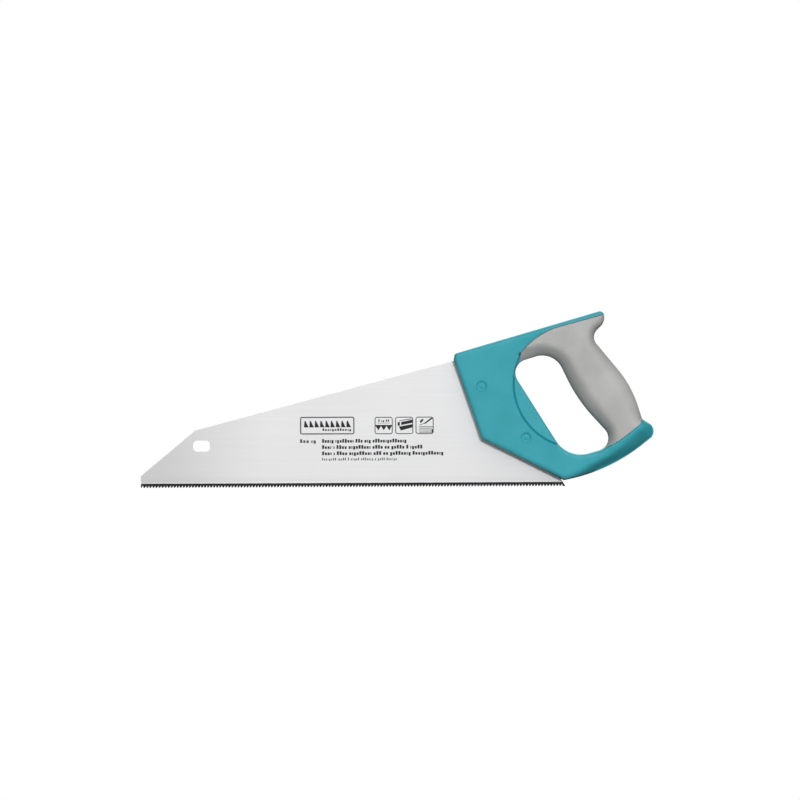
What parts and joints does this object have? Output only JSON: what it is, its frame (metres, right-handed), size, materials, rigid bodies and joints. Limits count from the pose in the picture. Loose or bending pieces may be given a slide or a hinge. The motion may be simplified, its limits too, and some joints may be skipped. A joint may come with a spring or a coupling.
{
  "type": "hand saw",
  "caption": "Short fixed-blade hand saw: slanted nose with an oblong hang hole, hardened fine teeth, closed hard-plastic handle with a soft moulded grip and a lower guard arm.",
  "frame": {"origin": "middle of the grip, where the hand closes round it, in the plane of the blade", "axes": "+X from the toe of the blade towards the handle along the tooth line, +Z from the teeth towards the back, +Y across the blade's thickness; the printed side faces -Y"},
  "size_m": [0.4224, 0.029, 0.1438],
  "materials": {
    "blade_steel": "ground and clear-lacquered, with an induction-hardened dark tooth edge",
    "handle_plastic": "moulded teal polypropylene, satin with a fine texture",
    "grip_rubber": "moulded grey thermoplastic elastomer, matt",
    "bolt_steel": "zinc plated",
    "blade_print": "thin black screen print on the left face of the blade"
  },
  "bodies": {
    "root": {"blade": "blade_steel", "handle_core": "handle_plastic", "soft_grip": "grip_rubber", "front_screw": "bolt_steel", "front_sleeve_nut": "bolt_steel", "rear_screw": "bolt_steel", "rear_sleeve_nut": "bolt_steel", "left_front_plug": "handle_plastic", "right_front_plug": "handle_plastic", "left_rear_plug": "handle_plastic", "right_rear_plug": "handle_plastic"}
  },
  "joints": []
}
